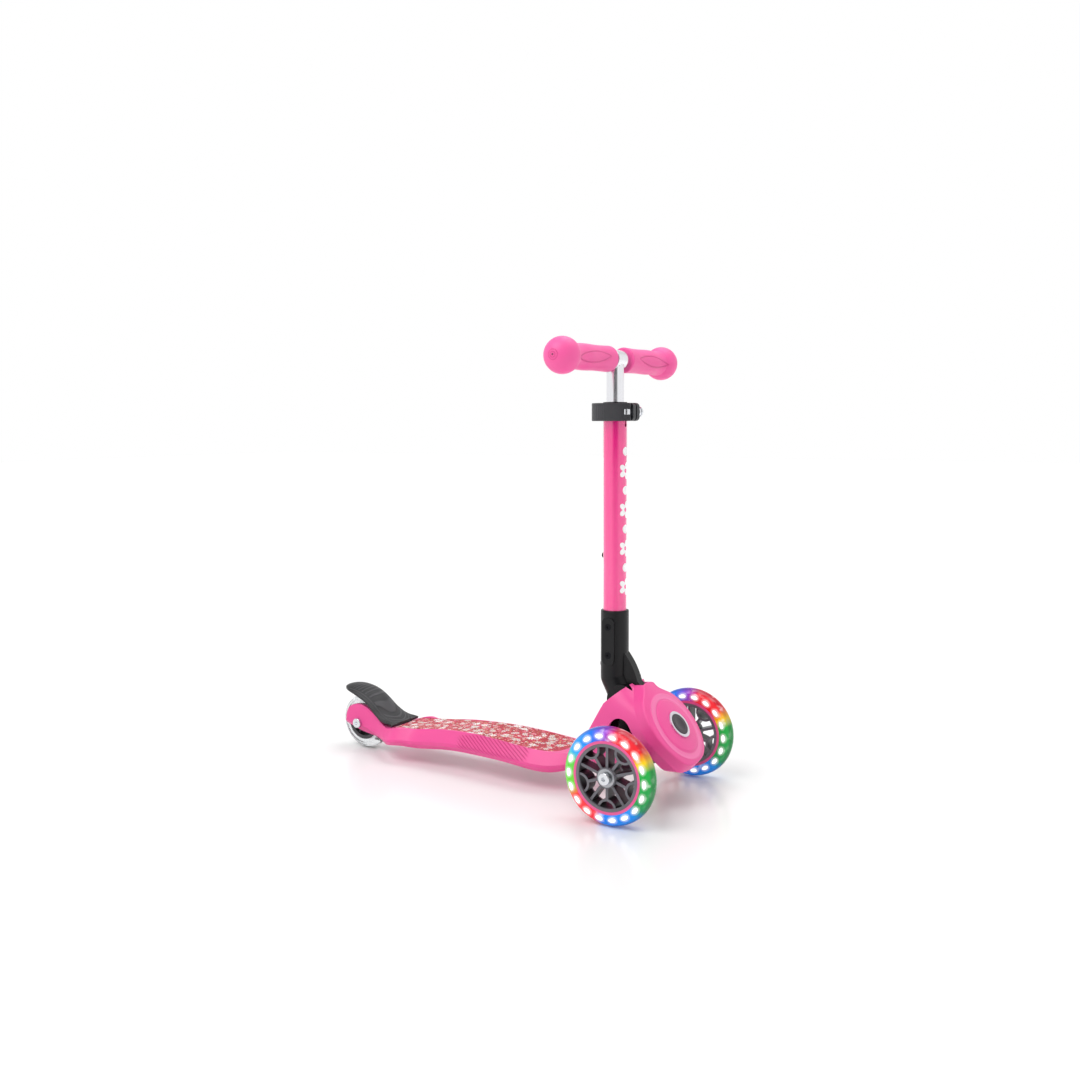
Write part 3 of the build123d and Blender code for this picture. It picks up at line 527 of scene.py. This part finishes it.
def brake_plastic():
    """The brake's dark nylon, with curved tread lines across it and a raised line inside each edge, all
    with a painted highlight.
    """
    material, sheet, shader = new_material("brake_plastic")
    place = sheet.coords()
    x, y, z = sheet.split(place)
    side = sheet.absolute(y)
    curve, pitch = 22.0, 0.0046
    along = sheet.plus(sheet.plus(x, sheet.times(side, side, curve)), sheet.times(z, 0.8))
    crests = sheet.step(sheet.wave(along, pitch), 0.1, 0.8)
    tread = sheet.times(crests, sheet.step(side, 0.0195, 0.0175), sheet.step(x, -0.262, -0.250))
    rim = sheet.times(sheet.step(side, 0.0195, 0.0202), sheet.step(side, 0.0216, 0.0209))
    raised = sheet.math("MAXIMUM", tread, sheet.times(rim, 0.8))
    flow = sheet.noise(place, 25.0, 3.0)
    tone = sheet.tones(flow, srgb(36, 36, 38), srgb(48, 48, 51))
    # The raised lines are painted paler grey as a painted highlight.
    sheet.link(sheet.mix(sheet.times(raised, 0.4), tone, srgb(96, 96, 100)), shader.inputs["Base Color"])
    sheet.link(sheet.scale_add(flow, 0.18, 0.42), shader.inputs["Roughness"])
    fine = sheet.grain(place, 1100.0, 0.00008)
    sheet.link(sheet.bump(raised, 0.0008, fine), shader.inputs["Normal"])
    return material


def hub_plastic(name, centre):
    """A hub's grey nylon, with a painted highlight on the faces that stand furthest out and painted shade
    down between the spokes.
    """
    material, sheet, shader = new_material(name)
    place = sheet.coords()
    _, y, _ = sheet.split(place)
    out = sheet.absolute(sheet.minus(y, centre.y))
    # Painted highlight on the outermost faces, painted shade in the recesses between the spokes.
    face = sheet.step(out, 0.0070, 0.0084)
    flow = sheet.noise(place, 30.0, 3.0)
    # The dark tone is the painted shade, the pale one the painted highlight.
    low = sheet.tones(flow, srgb(26, 26, 29), srgb(36, 35, 39))
    high = sheet.tones(flow, srgb(92, 91, 97), srgb(112, 110, 117))
    sheet.link(sheet.mix(face, low, high), shader.inputs["Base Color"])
    sheet.link(sheet.scale_add(flow, 0.16, 0.26), shader.inputs["Roughness"])
    sheet.link(sheet.grain(place, 900.0, 0.00004), shader.inputs["Normal"])
    return material


def lever_plastic():
    """The clamp's lever, with upright ridges for the fingers on its outer face and a painted highlight on
    their crests.
    """
    material, sheet, shader = new_material("lever_plastic")
    place = sheet.coords()
    x, _, z = sheet.split(place)
    pitch = 0.0030
    crests = sheet.step(sheet.wave(x, pitch), -0.2, 0.6)
    lengthways = sheet.times(sheet.step(x, 0.1435, 0.1455), sheet.step(x, 0.1690, 0.1670))
    upright = sheet.step(sheet.absolute(sheet.minus(z, CLAMP_Z)), 0.0078, 0.0068)
    ridges = sheet.times(crests, lengthways, upright)
    flow = sheet.noise(place, 30.0, 3.0)
    tone = sheet.tones(flow, srgb(40, 41, 45), srgb(50, 51, 55))
    # The ridges' crests are painted paler grey as a painted highlight.
    sheet.link(sheet.mix(sheet.times(ridges, 0.25), tone, srgb(90, 90, 94)), shader.inputs["Base Color"])
    sheet.link(sheet.scale_add(flow, 0.16, 0.34), shader.inputs["Roughness"])
    fine = sheet.grain(place, 900.0, 0.00006)
    sheet.link(sheet.bump(ridges, 0.0006, fine), shader.inputs["Normal"])
    return material


# ------------------------------------------------------------------ dressing the frame
def dress_frame():
    """Gives every CAD node its finish. Nodes that aren't named here are brushed steel."""
    black = moulded("black_nylon", srgb(9, 9, 12), 0.34, grain=0.00005, specular=0.26)
    clamp = moulded("clamp_grey", srgb(40, 41, 45), 0.42, grain=0.00008, specular=0.35)
    dark = moulded("button_dark", srgb(50, 42, 50), 0.42, grain=0.00012, grain_scale=700.0)
    band = moulded("band_pink", srgb(236, 88, 150), 0.30, grain=0.00003)
    steel = metal("steel_brushed", srgb(176, 178, 182), 0.30)
    plated = metal("plated_bright", srgb(222, 224, 228), 0.16, brushed=(400.0, 400.0, 400.0), depth=0.00001)
    blackened = metal("steel_black", srgb(34, 34, 37), 0.36)
    bright = metal("aluminium_bright", srgb(236, 236, 240), 0.20, brushed=DRAWN_TUBE, depth=0.00001)
    finish = {
        "deck": pink_deck(),
        "deck_sheet": printed_sheet(),
        "pod_shell": pink_shell(),
        "lock_bezel": metal("bezel_silver", srgb(226, 222, 230), 0.28),
        "lock_button": dark,
        "steering_bracket": black,
        "axle_beam": black,
        "fold_bracket": black,
        "tube_bush": black,
        "stem_guide": black,
        "fold_latch": clamp,
        "torsion_bush": moulded("bush_rubber", srgb(30, 30, 32), 0.7),
        "brake_fender": brake_plastic(),
        "outer_tube": anodised_tube(),
        "guide_pin": blackened,
        "bracket_screws": blackened,
        "clamp_collar": clamp,
        "clamp_lever": lever_plastic(),
        "stem": bright,
        "crossbar": bright,
        "rear_tyre": clear_tyre(),
        "rear_hub": moulded("hub_grey", srgb(62, 60, 64), 0.30),
    }
    for name in ("clamp_bolt", "clamp_nut", "cam_pin", "rear_bolt", "rear_nut"):
        finish[name] = plated
    for side, sign in (("left", 1), ("right", -1)):
        wheel = side + "_wheel_"
        centre = FRONT_AXLE + Vector((0, sign * TRACK_HALF, 0))
        finish[wheel + "bolt"] = plated
        finish[wheel + "hub"] = hub_plastic("hub_" + side, centre)
        finish[wheel + "band"] = band
        finish[wheel + "tyre"] = lit_tyre("lit_tyre_" + side, centre)
        finish[wheel + "lamps"] = lamp_light()
        finish[side + "_grip"] = pink_grip()
    for name, node in nodes.items():
        node.data.materials.clear()
        node.data.materials.append(finish.get(name, steel))


def soften_edges():
    """Rounds the edges of the parts whose corners catch the light."""
    for name in ("clamp_collar", "clamp_lever", "fold_bracket", "brake_fender"):
        edge = nodes[name].modifiers.new("soft_edge", "BEVEL")
        edge.width = 0.0004
        edge.segments = 2
        edge.limit_method = "ANGLE"
        edge.angle_limit = math.radians(35)


# ------------------------------------------------------------------ stage, light and camera
def make_stage():
    """A wide pale floor with a soft sheen, which glows more the further it is from the middle."""
    half_size, gap_below = 12.0, 0.0004
    mesh = bpy.data.meshes.new("floor")
    grid = bmesh.new()
    bmesh.ops.create_grid(grid, x_segments=2, y_segments=2, size=half_size)
    grid.to_mesh(mesh)
    grid.free()
    floor = bpy.data.objects.new("floor", mesh)
    bpy.context.scene.collection.objects.link(floor)
    floor.location.z = -gap_below
    material, sheet, shader = new_material("pale_floor")
    place = sheet.coords()
    cloud = sheet.noise(place, 3.0, 2.0)
    sheet.link(sheet.tones(cloud, shade(WHITE, 0.90), shade(WHITE, 0.92)), shader.inputs["Base Color"])
    x, y, _ = sheet.split(place)
    far = sheet.step(sheet.hypot(x, y), 0.25, 2.4)
    shader.inputs["Emission Color"].default_value = (*WHITE, 1.0)
    sheet.link(sheet.scale_add(far, 0.40, 0.02), shader.inputs["Emission Strength"])
    shader.inputs["Roughness"].default_value = 0.22
    shader.inputs["Specular IOR Level"].default_value = 0.35
    mesh.materials.append(material)


def make_world():
    """A white room, dimmer overhead, with one dark panel that shows only in reflections."""
    world = bpy.data.worlds.new("studio")
    bpy.context.scene.world = world
    world.use_nodes = True
    sheet = Sheet(world.node_tree)
    back = world.node_tree.nodes["Background"]
    x, y, z = sheet.split(sheet.add("ShaderNodeTexCoord").outputs["Generated"])
    overhead = sheet.step(z, 0.30, 0.80)
    panel_x, panel_y = 0.52, -0.85
    panel = sheet.step(sheet.plus(sheet.times(x, panel_x), sheet.times(y, panel_y)), 0.82, 0.97)
    level = sheet.times(sheet.scale_add(overhead, -0.62, 1.0), sheet.scale_add(panel, -0.97, 1.0))
    seen = sheet.add("ShaderNodeLightPath").outputs["Is Camera Ray"]
    level = sheet.math("MAXIMUM", level, seen)
    sheet.link(sheet.join(level, level, level), back.inputs["Color"])
    back.inputs["Strength"].default_value = 1.0


def area_light(name, place, size, power):
    """A soft rectangular light that points at the scooter's middle, low down."""
    aim = Vector((0.0, 0.0, 0.1))
    light = bpy.data.lights.new(name, "AREA")
    light.shape = "RECTANGLE"
    light.size, light.size_y = size
    light.energy = power
    holder = bpy.data.objects.new(name, light)
    holder.location = place
    holder.rotation_euler = (aim - Vector(place)).to_track_quat("-Z", "Y").to_euler()
    bpy.context.scene.collection.objects.link(holder)


def make_camera():
    """A camera ahead and to the right of the scooter, looking slightly down at it."""
    place = (0.865245, -1.300854, 0.479655)
    yaw, pitch, roll = (math.radians(angle) for angle in (31.862, -5.86, -0.281))
    camera = bpy.data.cameras.new("camera")
    camera.sensor_width = 36.0
    camera.lens = 38.8
    holder = bpy.data.objects.new("camera", camera)
    level_view = Matrix.Rotation(yaw, 4, "Z") @ Matrix.Rotation(math.pi / 2, 4, "X")
    tilt = Matrix.Rotation(pitch, 4, "X") @ Matrix.Rotation(roll, 4, "Z")
    holder.matrix_world = Matrix.Translation(place) @ level_view @ tilt
    bpy.context.scene.collection.objects.link(holder)
    bpy.context.scene.camera = holder
    bpy.context.scene.view_settings.view_transform = "Standard"


dress_frame()
soften_edges()
make_stage()
make_world()
area_light("key", (-0.4, -1.6, 2.6), (2.2, 1.6), 44.0)
area_light("top", (0.3, 0.8, 2.6), (2.6, 1.6), 30.0)
make_camera()
